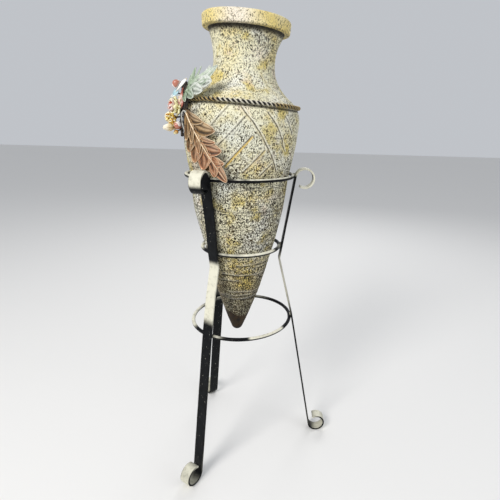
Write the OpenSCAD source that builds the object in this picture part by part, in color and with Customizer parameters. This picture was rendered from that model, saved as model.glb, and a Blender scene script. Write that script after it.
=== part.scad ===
// Pointed floor vase with a twisted rope band and a leaf-and-blossom spray,
// standing in a three-legged flat-iron stand with three round-rod hoops.
// Millimetres, +Z up, floor at z = 0, the spray on the -X side.

/* [Stand] */
// Width of the flat bar that the legs are bent from
bar_w = 25.4; // [20:0.1:30]
// Thickness of the flat bar
bar_t = 4; // [3:0.1:5]
// Diameter of the round rod of the hoops
rod_d = 8; // [6:0.1:9]
// Radius of the top hoop, to the middle of its rod
top_hoop_r = 115.2; // [114:0.1:122]
// Height of the top hoop
top_hoop_z = 690; // [686:0.5:692]
// Radius of the middle hoop, to the middle of its rod
middle_hoop_r = 87.3; // [86.9:0.1:92]
// Height of the middle hoop
middle_hoop_z = 528.5; // [526:0.5:530]
// Radius of the bottom hoop, to the middle of its rod
bottom_hoop_r = 116; // [105:0.5:125]
// Height of the bottom hoop
bottom_hoop_z = 345.5; // [335:0.5:355]
// Height of the knee, where each leg turns outward again
knee_z = 497; // [480:1:510]
// Lean of the lower leg from the vertical
foot_lean = 9.6; // [6:0.1:13]
// Outer radius of the scrolled foot
foot_scroll_r = 22.5; // [18:0.5:26]
// Outer radius of the scroll at the top of the right and rear legs
top_scroll_r = 22.8; // [20:0.1:24]
// Outer radius of the scroll at the top of the front leg, which is bent tighter
front_scroll_r = 20; // [18:0.1:24]
// How far round the circle each scroll is bent
scroll_sweep = 290; // [240:1:300]
// Direction of the right leg, from +X
right_leg_az = -3.5; // [-8:0.5:4]
// Direction of the front leg, from +X
front_leg_az = -128; // [-131:0.5:-124]
// Direction of the rear leg, from +X
rear_leg_az = 120.2; // [114:0.1:126]

/* [Vase] */
// Thickness of the vase wall
wall = 8; // [6:0.5:10]
// Lean of the vase towards the right leg
lean_right = 2.2; // [2:0.1:2.3]
// Lean of the vase towards the front
lean_front = 1.1; // [1:0.1:1.2]
// Radius of the rounded tip
tip_r = 14; // [12:0.5:15]
// Radius of the rim collar at its lower edge
rim_low_r = 85; // [82:0.1:86]
// Radius of the rim collar at its top
rim_top_r = 86.2; // [84:0.1:88]
// Depth of the rim collar
rim_depth = 23; // [20:0.5:28]

/* [Rope band] */
// Thickness of the rope band
rope_d = 8.6; // [7:0.1:9]
// Radius of the rope band, to the middle of the rope
rope_r = 115; // [115:0.1:118]

/* [Spray] */
// Thickness of the leaf metal
leaf_t = 1.6; // [1.2:0.1:2.2]
// Length of the copper leaf
copper_leaf_len = 152; // [135:1:156]
// Length of the green leaf
green_leaf_len = 90; // [75:1:96]
// Diameter of the berries
berry_d = 16; // [13:0.5:17]
// Diameter of the large pale blossom
blossom_d = 42; // [36:1:46]

/* [Hidden] */
$fn = 96;

// The hoops' common axis, measured from the middle of the whole object's box
axis_x = -37.5;
axis_y = -7.7;

// Legs, in the plane of radius and height
weld_gap = 0.2;
bend_lap = 0.4;
stand_off = rod_d / 2 + bar_t / 2 + weld_gap;
upper_slope = (top_hoop_r - middle_hoop_r) / (top_hoop_z - middle_hoop_z);
upper_lean = atan(upper_slope);
knee_r = middle_hoop_r + stand_off - (middle_hoop_z - knee_z) * upper_slope;
foot_flat = 0.3;
scroll_drop = 2.5;
foot_mid_r = foot_scroll_r - bar_t / 2;
foot_centre_z = foot_scroll_r - foot_flat;
foot_start_z = foot_centre_z - foot_mid_r * sin(foot_lean);
foot_start_r = bottom_hoop_r + stand_off + (bottom_hoop_z - foot_start_z) * tan(foot_lean);
foot_centre_r = foot_start_r + foot_mid_r * cos(foot_lean);
top_centre_z = top_hoop_z - scroll_drop;
leg_azimuths = [right_leg_az, front_leg_az, rear_leg_az];
bead_d = 5;
bead_len = 16;
bead_rise = 3.6;
bead_out = 2.7;

// Vase, in its own frame: height above the tip along its axis
tip = [-13, 0, 311.7];
rim_z = 656;
rim_round = 5;
rim_edge = 2;
lip_cover = 6;
tip_arc = 66;
cavity_floor = 70;
mouth_r = 66;
spline_steps = 4;
// Height and radius where the outline changes its course
stations = [
    [30, 21.5], [60, 32], [100, 45.5], [150, 59.5], [200, 71.8], [250, 84], [300, 93.5],
    [345, 98.7], [378, 102.3], [410, 107.8], [440, 113], [470, 116.3], [495, 118],
    [510, 116], [522, 110], [533, 100], [545, 86], [560, 72.5], [580, 63.5],
    [605, 60.8], [630, 64.5], [rim_z, 74]
];

// Rope and spray, in the vase's frame; each place is a radius, an azimuth and a height
rope_z = 523;
twig_d = 5;
stem_d = 2.4;
wire_knot = 1.15;
copper_mid_az = -127;
green_mid_az = -138;
twig_places = [
    [122.5, -158, 454], [123.5, -160, 480], [123.5, -161, 508], [123.5, -160, 535], [122.5, -157, 556]
];
copper_stem_places = [
    [124.5, -156.8, 458], [127, -155, 474], [128.5, -157, 487],
    [128.5, -156, 495], [126.5, -152.5, 501], [125.4, -148, 497]
];
tie_place = [rope_r + 1.2, -158, rope_z];
berry_upper_place = [132.5, -163, 548];
berry_lower_place = [133, -160, 473];
blossom_place = [127, -163, 508];
eye_place = [138, -163, 510];
white_place = [128, -160, 547];
blue_place = [135, -167, 534.5];
red_places = [[127.5, -156.5, 540], [129.5, -157, 530], [131.5, -157.5, 520]];
cluster_place = [145.5, -167.5, 486];
cream_place = [139, -160, 470];
yellow_place = [133, -159, 464];

// Leaves: base sideways and up, turn, half width, share of it each lobe reaches,
// and the radius and height of the lower and upper ends of the cone each is cut from
copper_base = [-45, 498];
copper_turn = -142;
copper_half_w = 36;
copper_reach = [0.8, 1, 0.85, 0.6];
copper_cone = [[119, 370], [126, 505]];
green_base = [-33, 528];
green_turn = -50;
green_half_w = 23;
green_reach = [0.95, 1, 0.7];
green_cone = [[126, 505], [104, 596]];
// The leaves are cut from the cones by a block along the radius, from its start to its end
leaf_block_start = 60;
leaf_block_len = 90;

function station(i) = stations[max(0, min(len(stations) - 1, i))];

// Catmull-Rom point between stations i and i + 1
function spline(i, t) =
    0.5 * (2 * station(i)
        + t * (station(i + 1) - station(i - 1))
        + t * t * (2 * station(i - 1) - 5 * station(i) + 4 * station(i + 1) - station(i + 2))
        + t * t * t * (3 * station(i) - station(i - 1) - 3 * station(i + 1) + station(i + 2)));

side_curve = [
    for (i = [0 : len(stations) - 2])
        for (k = [0 : spline_steps - 1])
            spline(i, k / spline_steps)
];

// Turns +X outward at a place on the vase
module at_place(place) {
    rotate([0, 0, place[1]])
        translate([place[0], 0, place[2]])
            children();
}

function polar(place) =
    [place[0] * cos(place[1]), place[0] * sin(place[1]), place[2]];

module on_stand() {
    translate([axis_x, axis_y, 0])
        children();
}

module on_vase() {
    on_stand()
        translate(tip)
            rotate([lean_front, lean_right, 0])
                children();
}

// ---- stand ----

// Straight stretch of bar between two points of the leg's plane
module bar_between(a, b) {
    translate(a)
        rotate(atan2(b[1] - a[1], b[0] - a[0]))
            translate([-bend_lap, -bar_t / 2])
                square([norm(b - a) + 2 * bend_lap, bar_t]);
}

// Bar bent to a circle, with the stretch from gap_from to gap_to left open
module scroll(centre, outer_r, gap_from, gap_to) {
    reach = 2 * outer_r;
    gap_mid = (gap_from + gap_to) / 2;
    translate(centre)
        difference() {
            circle(r = outer_r);
            circle(r = outer_r - bar_t);
            polygon([
                [0, 0],
                reach * [cos(gap_from), sin(gap_from)],
                reach * [cos(gap_mid), sin(gap_mid)],
                reach * [cos(gap_to), sin(gap_to)]
            ]);
        }
}

module leg_outline(scroll_r) {
    top_mid_r = scroll_r - bar_t / 2;
    top_start_z = top_centre_z + top_mid_r * sin(upper_lean);
    top_start_r = knee_r + (top_start_z - knee_z) * upper_slope;
    top_centre_r = top_start_r + top_mid_r * cos(upper_lean);
    foot_start = [foot_start_r, foot_start_z];
    bottom_point = [bottom_hoop_r + stand_off, bottom_hoop_z];
    knee_point = [knee_r, knee_z];
    top_start = [top_start_r, top_start_z];
    foot_from = 180 + foot_lean;
    top_from = 180 - upper_lean;
    bar_between(foot_start, bottom_point);
    bar_between(bottom_point, knee_point);
    bar_between(knee_point, top_start);
    translate(bottom_point)
        circle(d = bar_t);
    translate(knee_point)
        circle(d = bar_t);
    scroll([foot_centre_r, foot_centre_z], foot_scroll_r, foot_from - 360 + scroll_sweep, foot_from);
    scroll([top_centre_r, top_centre_z], scroll_r, top_from, top_from + 360 - scroll_sweep);
}

module leg(azimuth, scroll_r) {
    color("#23262a")
        on_stand()
            rotate([0, 0, azimuth])
                difference() {
                    translate([0, bar_w / 2, 0])
                        rotate([90, 0, 0])
                            linear_extrude(height = bar_w)
                                leg_outline(scroll_r);
                    translate([foot_centre_r - foot_scroll_r, -bar_w, -bar_t])
                        cube([2 * foot_scroll_r, 2 * bar_w, bar_t]);
                }
}

module leg_right() {
    leg(right_leg_az, top_scroll_r);
}

module leg_front() {
    leg(front_leg_az, front_scroll_r);
}

module leg_rear() {
    leg(rear_leg_az, top_scroll_r);
}

module hoop(radius, height) {
    color("#3a3c3c")
        on_stand()
            translate([0, 0, height])
                rotate_extrude()
                    translate([radius, 0])
                        circle(d = rod_d, $fn = 32);
}

module hoop_top() {
    hoop(top_hoop_r, top_hoop_z);
}

module hoop_middle() {
    hoop(middle_hoop_r, middle_hoop_z);
}

module hoop_bottom() {
    hoop(bottom_hoop_r, bottom_hoop_z);
}

// Two short beads, above and below the rod, at each leg
module welds(radius, height) {
    color("#2c2e30")
        on_stand()
            for (azimuth = leg_azimuths)
                for (side = [-1, 1])
                    rotate([0, 0, azimuth])
                        translate([radius + bead_out, 0, height + side * bead_rise])
                            rotate([90, 0, 0])
                                cylinder(h = bead_len, d = bead_d, center = true, $fn = 24);
}

module welds_top() {
    welds(top_hoop_r, top_hoop_z);
}

module welds_middle() {
    welds(middle_hoop_r, middle_hoop_z);
}

module welds_bottom() {
    welds(bottom_hoop_r, bottom_hoop_z);
}

// ---- vase ----

// Outline from the tip up to the rim, over the collar and down the inside
module vase_section() {
    tip_points = [
        for (a = [0 : tip_arc / 6 : tip_arc])
            [tip_r * sin(a), tip_r * (1 - cos(a))]
    ];
    outside = [for (p = side_curve) [p[1], p[0]]];
    rim_points = [
        [rim_low_r - rim_edge, rim_z],
        [rim_low_r, rim_z + rim_edge],
        for (a = [0 : 15 : 90])
            [rim_top_r - rim_round * (1 - cos(a)), rim_z + rim_depth - rim_round * (1 - sin(a))]
    ];
    inside = [
        for (i = [len(side_curve) - 1 : -1 : 0])
            if (side_curve[i][0] > cavity_floor && side_curve[i][0] < rim_z - lip_cover)
                [side_curve[i][1] - wall, side_curve[i][0]]
    ];
    mouth_points = [
        for (a = [90 : 15 : 180])
            [mouth_r + rim_round * (1 + cos(a)), rim_z + rim_depth - rim_round * (1 - sin(a))]
    ];
    polygon(concat(tip_points, outside, rim_points, mouth_points, inside, [[0, cavity_floor]]));
}

module vase_body() {
    color("#c4bd98")
        on_vase()
            rotate_extrude()
                vase_section();
}

module rope_band() {
    color("#8a7656")
        on_vase()
            translate([0, 0, rope_z])
                rotate_extrude()
                    translate([rope_r, 0])
                        circle(d = rope_d, $fn = 32);
}

// ---- spray ----

// Round wire through a list of points
module wire(points, d) {
    for (i = [0 : len(points) - 2]) {
        step = points[i + 1] - points[i];
        length = norm(step);
        translate(points[i])
            rotate([0, acos(step[2] / length), atan2(step[1], step[0])])
                cylinder(h = length, d = d, $fn = 24);
    }
    for (p = points)
        translate(p)
            sphere(d = d * wire_knot, $fn = 24);
}

// Disc that thins to its edge, with its face along X
module lens(d, thickness) {
    for (side = [-90, 90])
        rotate([0, side, 0])
            cylinder(h = thickness / 2, d1 = d, d2 = d * 0.4, $fn = 48);
}

// Lobed leaf along +Y with its base at the origin; reach is each lobe's share of half_w
module leaf_outline(length, half_w, reach) {
    lobes = len(reach);
    right = [
        for (i = [0 : lobes - 1])
            for (p = [
                [0.28 * half_w * reach[i], length * (i + 0.15) / (lobes + 0.6)],
                [half_w * reach[i], length * (i + 0.95) / (lobes + 0.6)],
                [0.72 * half_w * reach[i], length * (i + 1.12) / (lobes + 0.6)]
            ]) p
    ];
    left = [for (i = [len(right) - 1 : -1 : 0]) [-right[i][0], right[i][1]]];
    polygon(concat([[0, 0]], right, [[0, length]], left));
}

// Leaf cut from a cone about the vase's axis, so that it curves round the vase
module curved_leaf(mid_az, base, turn, cone) {
    low_r = cone[0][0];
    low_z = cone[0][1];
    high_r = cone[1][0];
    height = cone[1][1] - low_z;
    intersection() {
        translate([0, 0, low_z])
            difference() {
                cylinder(h = height, r1 = low_r, r2 = high_r);
                translate([0, 0, -0.01])
                    cylinder(h = height + 0.02, r1 = low_r - leaf_t, r2 = high_r - leaf_t);
            }
        rotate([0, 0, mid_az])
            translate([leaf_block_start, base[0], base[1]])
                rotate([90, 0, 90])
                    linear_extrude(height = leaf_block_len)
                        rotate(turn)
                            children();
    }
}

module leaf_copper() {
    color("#a8714f")
        on_vase()
            curved_leaf(copper_mid_az, copper_base, copper_turn, copper_cone)
                leaf_outline(copper_leaf_len, copper_half_w, copper_reach);
}

module leaf_green() {
    color("#9db893")
        on_vase()
            curved_leaf(green_mid_az, green_base, green_turn, green_cone)
                leaf_outline(green_leaf_len, green_half_w, green_reach);
}

// The copper leaf's wire stem loops up from the twig to the leaf's base
module leaf_copper_stem() {
    color("#b9bab2")
        on_vase()
            wire([for (place = copper_stem_places) polar(place)], stem_d + 0.2);
}

// Side twig between two places on the vase
module side_twig(from, to, d) {
    wire([polar(from), polar(to)], d);
}

module twig() {
    color("#2b2620")
        on_vase() {
            wire([for (place = twig_places) polar(place)], twig_d);
            side_twig([123.5, -161, 508], [130, -163, 508], 4);
            side_twig([123.5, -160, 545], [129, -162, 548], stem_d);
            side_twig([123.5, -160, 478], [129, -160, 475], stem_d);
            side_twig([123.5, -160.5, 490], [141, -167, 486], 3);
            side_twig([123.5, -160, 484], cream_place, stem_d);
            side_twig([123.5, -159.5, 468], yellow_place, stem_d);
            side_twig([123.5, -160, 530], [133, -166, 533], stem_d);
            side_twig([123.5, -159.4, 541], [120, -152.6, 530], stem_d);
            side_twig([123.5, -159.4, 528], [130, -157, 529], stem_d);
        }
}

// Ring of wire that binds the twig to the rope band
module rope_tie() {
    tie_r = 6.4;
    tie_wire = 2;
    color("#8f8f88")
        on_vase()
            at_place(tie_place)
                rotate([90, 0, 0])
                    rotate_extrude()
                        translate([tie_r, 0])
                            circle(d = tie_wire, $fn = 24);
}

module berry(place, d) {
    color("#d98a72")
        on_vase()
            at_place(place)
                sphere(d = d, $fn = 48);
}

module berry_upper() {
    berry(berry_upper_place, berry_d);
}

module berry_lower() {
    berry(berry_lower_place, berry_d - 0.5);
}

// Petals about a cup that faces outward; all sizes are shares of the blossom's width
module blossom(d, petals, tilt, thickness) {
    cup_low = 0.12;
    cup_high = 0.2;
    petal_out = 0.14;
    petal_up = 0.27;
    petal_d = 0.46;
    rotate([0, 90, 0])
        cylinder(h = d * cup_high, r1 = d * cup_low, r2 = d * cup_high);
    for (i = [0 : petals - 1])
        rotate([i * 360 / petals, 0, 0])
            translate([d * petal_out, 0, d * petal_up])
                rotate([0, tilt, 0])
                    lens(d * petal_d, thickness);
}

module blossom_pale() {
    color("#ece3c0")
        on_vase()
            at_place(blossom_place)
                rotate([0, -11, 0])
                    blossom(blossom_d, 6, 22, 5);
}

module blossom_eye() {
    eye_d = 12;
    color("#c9502e")
        on_vase()
            at_place(eye_place)
                sphere(d = eye_d, $fn = 32);
}

module petal_white() {
    color("#f2f0ea")
        on_vase()
            at_place(white_place)
                rotate([0, -42, 40])
                    lens(24, 3.6);
}

module petal_blue() {
    color("#bcd9e6")
        on_vase()
            at_place(blue_place)
                rotate([0, -20, 40])
                    lens(17, 4.6);
}

module petals_red() {
    color("#c4665a")
        on_vase()
            for (place = red_places)
                at_place(place)
                    rotate([0, -12, 40])
                        lens(13, 3.2);
}

// Ruffled blossom: a ring of small lobes round a middle knob
module cluster_yellow() {
    lobes = 7;
    lobe_d = 10.5;
    lobe_ring_r = 10;
    knob_d = 17;
    color("#e8cf6a")
        on_vase()
            at_place(cluster_place) {
                sphere(d = knob_d, $fn = 32);
                for (i = [0 : lobes - 1])
                    rotate([i * 360 / lobes, 0, 0])
                        translate([1, 0, lobe_ring_r])
                            sphere(d = lobe_d, $fn = 32);
            }
}

// Pointed bud, turned from a round base to a fine tip
module bud(length, d) {
    taper = 0.8;
    rings = 6;
    rotate_extrude()
        polygon(concat(
            [for (a = [-90 : 15 : 0]) [d / 2 * cos(a), d / 2 * (1 + sin(a))]],
            [for (k = [1 : rings]) [d / 2 * pow(1 - k / rings, taper), d / 2 + (length - d / 2) * k / rings]]
        ));
}

module bud_cream() {
    color("#f1e8cd")
        on_vase()
            at_place(cream_place)
                rotate([0, 98, 0])
                    bud(21.5, 13);
}

module bud_yellow() {
    color("#d9cf8a")
        on_vase()
            at_place(yellow_place)
                rotate([0, 140, 0])
                    bud(11, 7);
}

leg_right();
leg_front();
leg_rear();
hoop_top();
hoop_middle();
hoop_bottom();
welds_top();
welds_middle();
welds_bottom();
vase_body();
rope_band();
rope_tie();
twig();
leaf_green();
leaf_copper();
leaf_copper_stem();
berry_upper();
berry_lower();
blossom_pale();
blossom_eye();
petal_white();
petal_blue();
petals_red();
cluster_yellow();
bud_cream();
bud_yellow();
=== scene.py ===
import math

import bmesh
import bpy
import numpy as np
from mathutils import Matrix, Vector, noise


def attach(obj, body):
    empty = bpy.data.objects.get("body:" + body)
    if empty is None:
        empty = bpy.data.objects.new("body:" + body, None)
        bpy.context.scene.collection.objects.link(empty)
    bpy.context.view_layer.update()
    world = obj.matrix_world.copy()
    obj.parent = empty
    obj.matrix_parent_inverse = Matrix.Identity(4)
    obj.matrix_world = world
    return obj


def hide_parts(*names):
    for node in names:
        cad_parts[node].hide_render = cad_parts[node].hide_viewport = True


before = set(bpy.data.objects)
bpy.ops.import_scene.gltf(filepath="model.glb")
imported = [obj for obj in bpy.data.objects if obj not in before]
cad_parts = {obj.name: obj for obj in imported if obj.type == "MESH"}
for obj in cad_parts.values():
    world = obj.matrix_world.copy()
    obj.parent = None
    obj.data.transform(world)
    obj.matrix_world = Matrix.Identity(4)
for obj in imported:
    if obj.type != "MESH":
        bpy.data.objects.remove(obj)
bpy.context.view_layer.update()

MM = 0.001
UP = np.array([0.0, 0.0, 1.0])

# ---- places that part.scad also uses, in millimetres and degrees ----

AXIS = Vector((-37.5, -7.7, 0.0)) * MM
VASE_TIP = Vector((-13.0, 0.0, 311.7)) * MM
LEAN_FRONT, LEAN_RIGHT = 1.1, 2.2
LEG_AZIMUTHS = {"leg_right": -3.5, "leg_front": -128.0, "leg_rear": 120.2}
BAR_W, BAR_T = 25.4, 4.0
ROD_R = 4.0
# Radius and height of each hoop, from the top one down
HOOPS = {"hoop_top": (115.2, 690.0), "hoop_middle": (87.3, 528.5), "hoop_bottom": (116.0, 345.5)}
STAND_OFF = 6.2
KNEE_Z = 497.0
FOOT_LEAN = 9.6
FOOT_MID_R, FOOT_CENTRE_Z = 20.5, 22.2
# Radius and centre height of each top scroll's middle line
TOP_SCROLL = {"leg_right": (20.8, 685.0), "leg_front": (20.2, 687.5), "leg_rear": (20.8, 687.5)}
SCROLL_SWEEP = 290.0
ROPE_R, ROPE_Z = 115.0, 523.0
TWIG_AZ = -158.0

# ---- what the photo shows beyond the CAD ----

# How a leg is bent out of true: degrees its top scroll is wrung round, then pairs of height and degrees
# round the hoops' axis, and pairs of height and millimetres towards that axis
STRAIGHT = (0.0, [(0, 0.0)], [(0, 0.0)])
LEG_BENDS = {
    "leg_front": (15.0,
                  [(0, 0.0), (345, -1.0), (430, -3.2), (500, -3.4), (525, -2.4), (568, 0.4), (620, 2.2), (690, 3.0)],
                  [(0, 4.5), (90, 3.6), (345, 0.0)]),
}
COLLAR_ASIDE = 2.8
BELLY_FULLER = 6.0
ROPE_RISE = 2.4

FRAMES = {
    "stand": Matrix.Translation(AXIS),
    "vase": (Matrix.Translation(AXIS + VASE_TIP)
             @ Matrix.Rotation(math.radians(LEAN_RIGHT), 4, "Y")
             @ Matrix.Rotation(math.radians(LEAN_FRONT), 4, "X")),
}


def smooth(low, high, x):
    t = np.clip((np.asarray(x, float) - low) / (high - low), 0, 1)
    return t * t * (3 - 2 * t)


def bell(x, width):
    return np.exp(-(np.asarray(x, float) / width) ** 2)


def table(pairs, x):
    return np.interp(x, [p[0] for p in pairs], [p[1] for p in pairs])


def circle(count):
    """A row of angles, in radians, evenly spaced round a circle."""
    return np.radians(np.linspace(0, 360, count, endpoint=False))[None, :]


def polar(radius, azimuth, height):
    """Points of the vase's frame or the stand's, in millimetres, from radius, azimuth in degrees and height."""
    radius, a, height = np.broadcast_arrays(radius, np.radians(azimuth), height)
    return np.stack([radius * np.cos(a), radius * np.sin(a), height], axis=-1).astype(float)


def bearings(azimuth):
    """Level unit vectors at an azimuth: away from the axis, and to its left seen from outside."""
    a = math.radians(azimuth)
    return np.array([math.cos(a), math.sin(a), 0.0]), np.array([-math.sin(a), math.cos(a), 0.0])


def lumps(points, grain, seed):
    """Smooth noise from -1 to 1 at each point; grain is the size of a lump in the points' unit."""
    flat = np.asarray(points, float).reshape(-1, 3) / grain + seed * 17.31
    values = np.fromiter((noise.noise(Vector(p)) for p in flat), float, len(flat))
    return values.reshape(np.asarray(points).shape[:-1])


def rotation(axis, angle):
    return Matrix.Rotation(math.radians(angle), 4, axis)


def turned(points, matrix):
    m = np.array(matrix)
    return np.asarray(points) @ m[:3, :3].T + m[:3, 3]


def unit(vectors):
    return vectors / np.maximum(np.linalg.norm(vectors, axis=-1, keepdims=True), 1e-9)


def even(points, count):
    """The same line with its points evenly stepped by length."""
    steps = np.r_[0, np.cumsum(np.linalg.norm(np.diff(points, axis=0), axis=1))]
    at = np.linspace(0, steps[-1], count)
    return np.stack([np.interp(at, steps, points[:, k]) for k in range(points.shape[1])], axis=1)


def spline(points, count):
    """Catmull-Rom curve through the points, evenly stepped by length."""
    p = np.asarray(points, float)
    p = np.vstack([2 * p[0] - p[1], p, 2 * p[-1] - p[-2]])
    fine = []
    for i in range(1, len(p) - 2):
        before, start, end, after = p[i - 1:i + 3]
        for t in np.linspace(0, 1, 24, endpoint=False):
            fine.append(0.5 * (2 * start + t * (end - before)
                               + t * t * (2 * before - 5 * start + 4 * end - after)
                               + t ** 3 * (3 * start - before - 3 * end + after)))
    fine.append(p[-2])
    return even(np.array(fine), count)


class Shape:
    """Collects surfaces, in millimetres, into one mesh with named marks on its points."""

    def __init__(self):
        self.points, self.faces, self.marks, self.count = [], [], {}, 0

    def grid(self, grid, wrap_rows=False, wrap_columns=False, cap=False, flip=False, **marks):
        """A surface from rows of points. cap closes each end of a wrapped tube with a middle point."""
        grid = np.asarray(grid, float)
        rows, columns = grid.shape[:2]
        index = self.count + np.arange(rows * columns).reshape(rows, columns)
        down = np.arange(rows if wrap_rows else rows - 1)
        over = np.arange(columns if wrap_columns else columns - 1)
        i, j = np.meshgrid(down, over, indexing="ij")
        i2, j2 = (i + 1) % rows, (j + 1) % columns
        quads = np.stack([index[i, j], index[i2, j], index[i2, j2], index[i, j2]], axis=-1).reshape(-1, 4)
        self.faces += (quads[:, ::-1] if flip else quads).tolist()
        points = grid.reshape(-1, 3)
        marks = {k: np.broadcast_to(v, (rows, columns)) for k, v in marks.items()}
        values = {k: v.reshape(-1) for k, v in marks.items()}
        if cap:
            for row, backward in ((0, True), (rows - 1, False)):
                middle = self.count + len(points)
                points = np.vstack([points, grid[row].mean(axis=0)])
                values = {k: np.append(v, marks[k][row].mean()) for k, v in values.items()}
                ring = index[row].tolist()
                for a, b in zip(ring, ring[1:] + ring[:1]):
                    self.faces.append([a, b, middle] if backward == flip else [b, a, middle])
        for k in set(self.marks) | set(values):
            old = self.marks.get(k, np.zeros(self.count))
            self.marks[k] = np.append(old, values.get(k, np.zeros(len(points))))
        self.points.append(points)
        self.count += len(points)
        return self

    def sheet(self, grid, thickness, **marks):
        """A closed thin sheet about a surface of points."""
        rows, columns = grid.shape[:2]
        normal = unit(np.cross(np.gradient(grid, axis=0), np.gradient(grid, axis=1)))
        half = normal * thickness / 2
        ring = np.concatenate([grid + half, (grid - half)[:, ::-1]], axis=1)
        start = self.count
        marks = {k: np.broadcast_to(v, (rows, columns)) for k, v in marks.items()}
        doubled = {k: np.concatenate([v, v[:, ::-1]], axis=1) for k, v in marks.items()}
        self.grid(ring, wrap_columns=True, flip=True, **doubled)
        width = 2 * columns
        last = start + (rows - 1) * width
        for j in range(columns - 1):
            k = width - 1 - j
            self.faces.append([start + j, start + k, start + k - 1, start + j + 1])
            self.faces.append([last + j, last + j + 1, last + k - 1, last + k])

    def tube(self, path, radius, sides=12, **marks):
        """A round bar along a path, closed and rounded at its ends."""
        radius = np.broadcast_to(np.asarray(radius, float), (len(path),))
        tangent = unit(np.gradient(path, axis=0))
        side = np.cross(tangent[0], [0.13, 0.31, 0.94])
        angles = circle(sides).T
        first = path[0] - tangent[0] * radius[0] * 0.45
        last = path[-1] + tangent[-1] * radius[-1] * 0.45
        rings = []
        for c, t, r in zip(np.vstack([first, path, last]), np.vstack([tangent[:1], tangent, tangent[-1:]]),
                           np.r_[radius[0] * 0.6, radius, radius[-1] * 0.6]):
            side = unit(side - t * np.dot(side, t))
            rings.append(c + r * (np.cos(angles) * side + np.sin(angles) * np.cross(t, side)))
        for k, v in marks.items():
            v = np.broadcast_to(np.asarray(v, float), (len(path),))
            marks[k] = np.r_[v[0], v, v[-1]][:, None]
        return self.grid(np.array(rings), wrap_columns=True, cap=True, **marks)

    def build(self, name, paint, body, slot, node):
        """Makes the piece that is seen in place of a CAD node."""
        mesh = bpy.data.meshes.new(name)
        mesh.from_pydata((np.vstack(self.points) * MM).tolist(), [], self.faces)
        mesh.validate()
        tidy = bmesh.new()
        tidy.from_mesh(mesh)
        bmesh.ops.recalc_face_normals(tidy, faces=tidy.faces)
        tidy.to_mesh(mesh)
        tidy.free()
        mesh.polygons.foreach_set("use_smooth", [True] * len(mesh.polygons))
        for k, v in self.marks.items():
            mesh.attributes.new(k, "FLOAT", "POINT").data.foreach_set("value", v.astype(np.float32))
        mesh.materials.append(paint)
        piece = bpy.data.objects.new(name, mesh)
        bpy.context.scene.collection.objects.link(piece)
        piece.matrix_world = FRAMES[body]
        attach(piece, body)
        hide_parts(node)


# ---- materials ----


def rgb(code):
    """Linear colour from a six-figure sRGB code."""
    c = [int(code[i:i + 2], 16) / 255 for i in (0, 2, 4)]
    return tuple(v / 12.92 if v <= 0.04045 else ((v + 0.055) / 1.055) ** 2.4 for v in c) + (1.0,)


class Finish:
    """Builds one procedural material, node by node, in the piece's own coordinates (metres)."""

    def __init__(self, name, roughness, metallic=0.0, specular=0.5, coat=0.0):
        self.material = bpy.data.materials.new(name)
        self.material.use_nodes = True
        self.tree = self.material.node_tree
        self.shader = self.tree.nodes["Principled BSDF"]
        self.shader.inputs["Roughness"].default_value = roughness
        self.shader.inputs["Metallic"].default_value = metallic
        self.shader.inputs["Specular IOR Level"].default_value = specular
        if coat:
            self.shader.inputs["Coat Weight"].default_value = coat
            self.shader.inputs["Coat Roughness"].default_value = 0.2
        self.where = self.node("TexCoord", "Object", {})

    def set(self, socket, value):
        """Links a socket or gives it a value; a string is a colour code."""
        if isinstance(value, bpy.types.NodeSocket):
            self.tree.links.new(value, socket)
        else:
            socket.default_value = rgb(value) if isinstance(value, str) else value

    def node(self, kind, output, inputs, **settings):
        """Adds a node and returns one of its outputs."""
        node = self.tree.nodes.new("ShaderNode" + kind)
        for k, v in settings.items():
            setattr(node, k, v)
        for k, v in inputs.items():
            self.set(node.inputs[k], v)
        return node.outputs[output]

    def noise(self, scale, detail=3.0, rough=0.55, distortion=0.0, stretch=None, shift=0.0):
        where = self.node("Mapping", "Vector", {"Vector": self.where, "Scale": stretch}) if stretch else self.where
        return self.node("TexNoise", "Fac", {"Vector": where, "W": shift, "Scale": scale, "Detail": detail,
                                             "Roughness": rough, "Distortion": distortion}, noise_dimensions="4D")

    def mark(self, name):
        return self.node("Attribute", "Fac", {}, attribute_name=name)

    def math(self, operation, a, b=0.0):
        return self.node("Math", 0, {0: a, 1: b}, operation=operation)

    def wander(self, noise, amount):
        """Noise about nought instead of about a half."""
        return self.math("MULTIPLY", self.math("SUBTRACT", noise, 0.5), amount)

    def step(self, value, low, high, to_low=0.0, to_high=1.0):
        return self.node("MapRange", "Result", {"Value": value, "From Min": low, "From Max": high, "To Min": to_low,
                                                "To Max": to_high}, interpolation_type="SMOOTHSTEP")

    def mix(self, amount, a, b):
        return self.node("Mix", 2, {0: amount, 6: a, 7: b}, data_type="RGBA")

    def colour(self, value):
        self.set(self.shader.inputs["Base Color"], value)

    def rough(self, value):
        self.set(self.shader.inputs["Roughness"], value)

    def bump(self, height, distance, strength=1.0):
        """Adds a relief over those added before it."""
        normal = self.shader.inputs["Normal"]
        inputs = {"Height": height, "Distance": distance, "Strength": strength}
        if normal.links:
            inputs["Normal"] = normal.links[0].from_socket
        self.set(normal, self.node("Bump", "Normal", inputs))


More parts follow.
